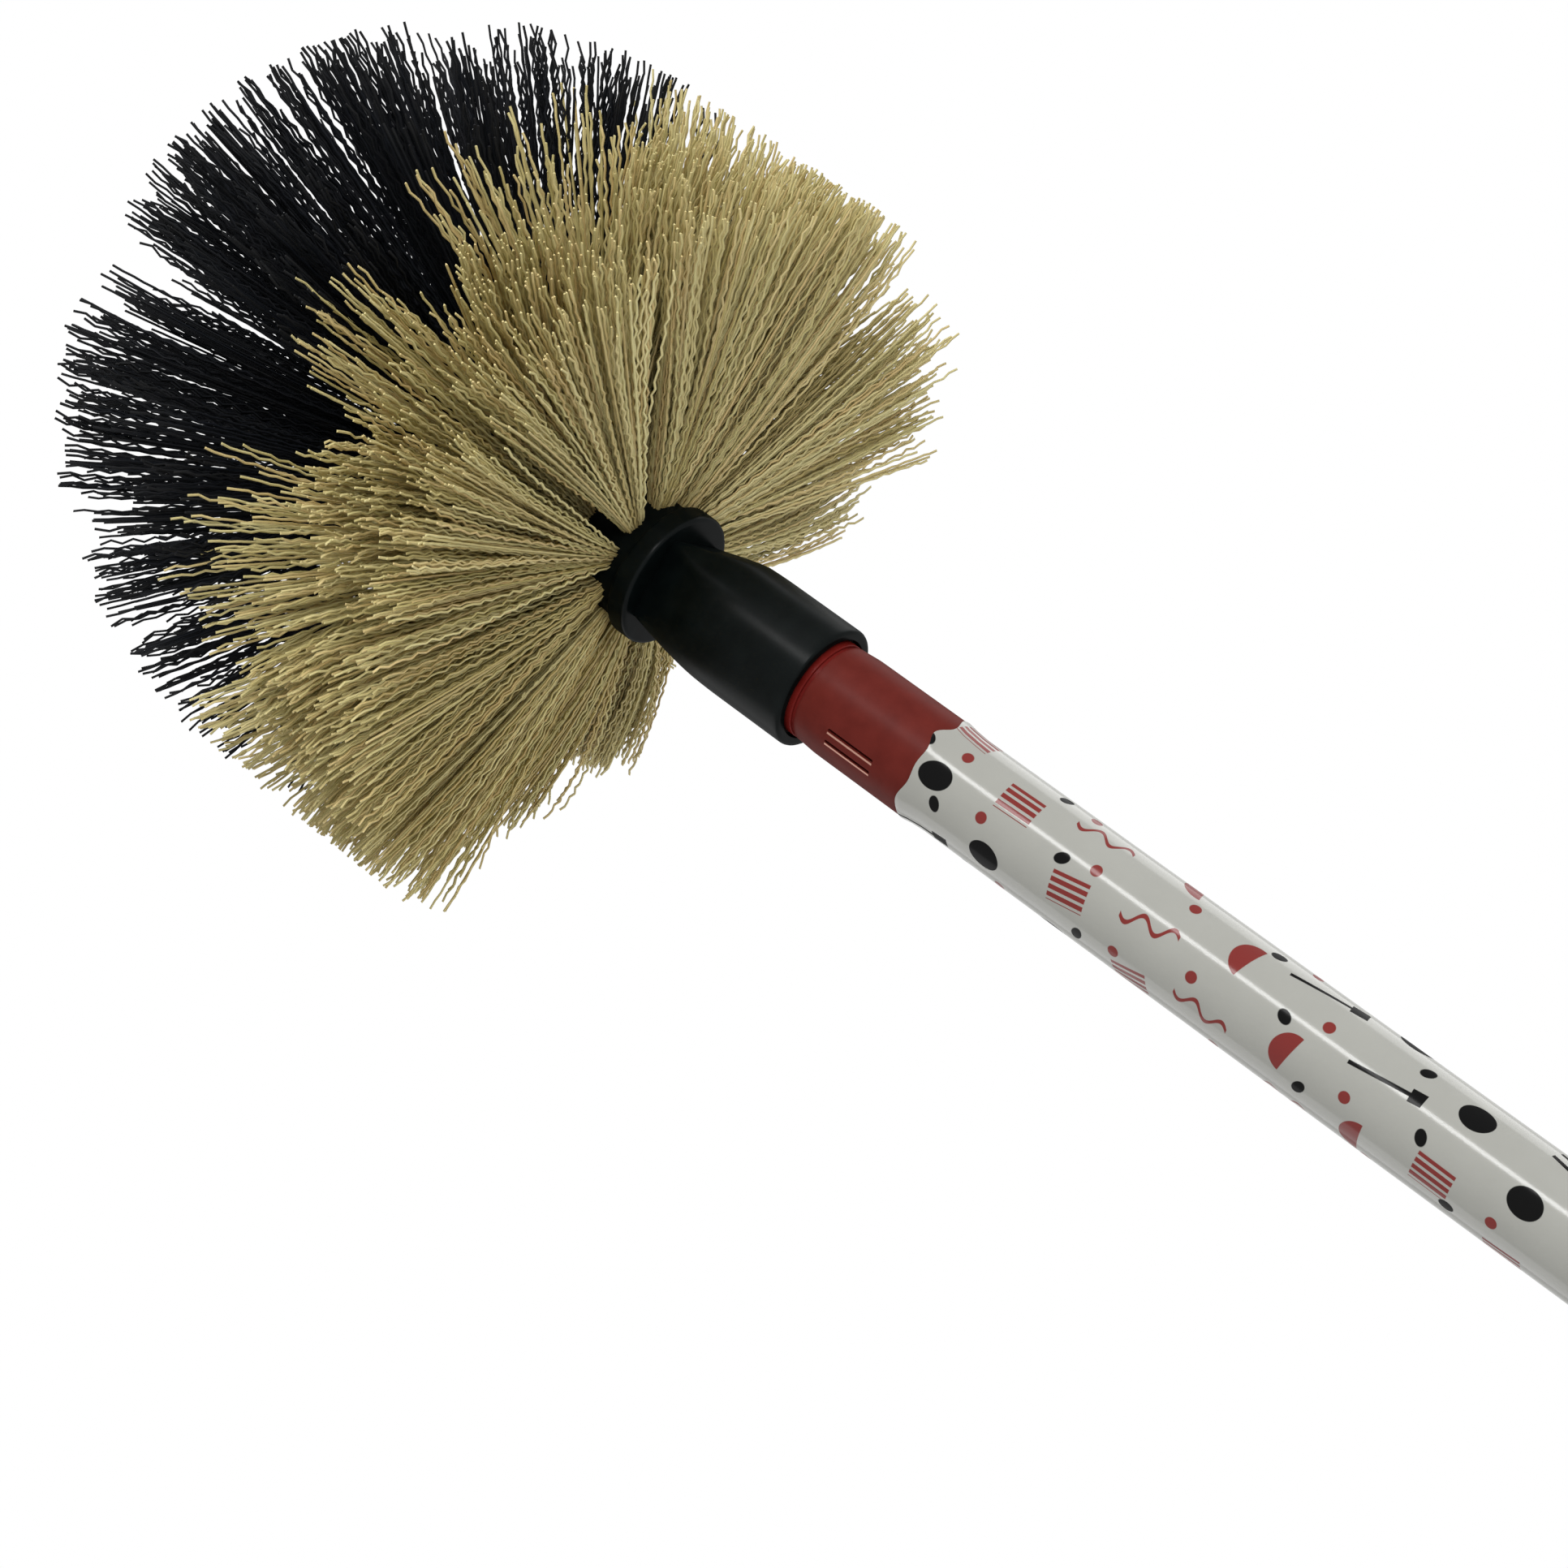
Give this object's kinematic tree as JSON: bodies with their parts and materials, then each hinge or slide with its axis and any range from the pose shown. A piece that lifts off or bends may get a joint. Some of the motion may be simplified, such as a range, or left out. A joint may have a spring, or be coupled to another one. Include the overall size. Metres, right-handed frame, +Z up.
{
  "type": "cobweb brush",
  "caption": "Long-handled cobweb brush: a round head of cream side bristles and a black domed crown, screwed onto a slim film-covered steel handle with a hanging hole at its end.",
  "frame": {"origin": "lowest point of the hanging cap, on the handle's axis", "axes": "+Z up the handle's axis towards the brush head; the hanging hole runs along Y"},
  "size_m": [0.17, 0.17, 1.3674],
  "materials": {
    "red_enamel": "glossy red enamel on steel tube",
    "printed_film": null,
    "red_plastic": "glossy red moulded plastic",
    "black_plastic": "satin black moulded plastic",
    "anchor_wire": "bare flat wire",
    "cream_bristle": "crimped straw-coloured plastic filament",
    "black_bristle": "crimped black plastic filament"
  },
  "bodies": {
    "handle": {"handle_tube": "red_enamel", "print_sleeve": "printed_film", "threaded_tip": "red_plastic", "hanging_cap": "red_plastic"},
    "head": {"brush_block": "black_plastic", "tuft_anchors": "anchor_wire", "cream_tuft_1_01": "cream_bristle", "cream_tuft_1_02": "cream_bristle", "cream_tuft_1_03": "cream_bristle", "cream_tuft_1_04": "cream_bristle", "cream_tuft_1_05": "cream_bristle", "cream_tuft_1_06": "cream_bristle", "cream_tuft_1_07": "cream_bristle", "cream_tuft_1_08": "cream_bristle", "cream_tuft_1_09": "cream_bristle", "cream_tuft_1_10": "cream_bristle", "cream_tuft_2_01": "cream_bristle", "cream_tuft_2_02": "cream_bristle", "cream_tuft_2_03": "cream_bristle", "cream_tuft_2_04": "cream_bristle", "cream_tuft_2_05": "cream_bristle", "cream_tuft_2_06": "cream_bristle", "cream_tuft_2_07": "cream_bristle", "cream_tuft_2_08": "cream_bristle", "cream_tuft_2_09": "cream_bristle", "cream_tuft_2_10": "cream_bristle", "cream_tuft_3_01": "cream_bristle", "cream_tuft_3_02": "cream_bristle", "cream_tuft_3_03": "cream_bristle", "cream_tuft_3_04": "cream_bristle", "cream_tuft_3_05": "cream_bristle", "cream_tuft_3_06": "cream_bristle", "cream_tuft_3_07": "cream_bristle", "cream_tuft_3_08": "cream_bristle", "cream_tuft_3_09": "cream_bristle", "cream_tuft_3_10": "cream_bristle", "black_tuft_1_01": "black_bristle", "black_tuft_1_02": "black_bristle", "black_tuft_1_03": "black_bristle", "black_tuft_1_04": "black_bristle", "black_tuft_1_05": "black_bristle", "black_tuft_1_06": "black_bristle", "black_tuft_1_07": "black_bristle", "black_tuft_1_08": "black_bristle", "black_tuft_1_09": "black_bristle", "black_tuft_1_10": "black_bristle", "black_tuft_2_01": "black_bristle", "black_tuft_2_02": "black_bristle", "black_tuft_2_03": "black_bristle", "black_tuft_2_04": "black_bristle", "black_tuft_2_05": "black_bristle", "black_tuft_2_06": "black_bristle", "black_tuft_2_07": "black_bristle", "black_tuft_2_08": "black_bristle", "black_tuft_3_01": "black_bristle", "black_tuft_3_02": "black_bristle", "black_tuft_3_03": "black_bristle", "black_tuft_3_04": "black_bristle", "black_tuft_top": "black_bristle"}
  },
  "joints": [
    {"name": "head_unscrew", "type": "slide", "parent": "handle", "child": "head", "axis": [0, 0, 1], "range_m": [0, 0.03]}
  ]
}
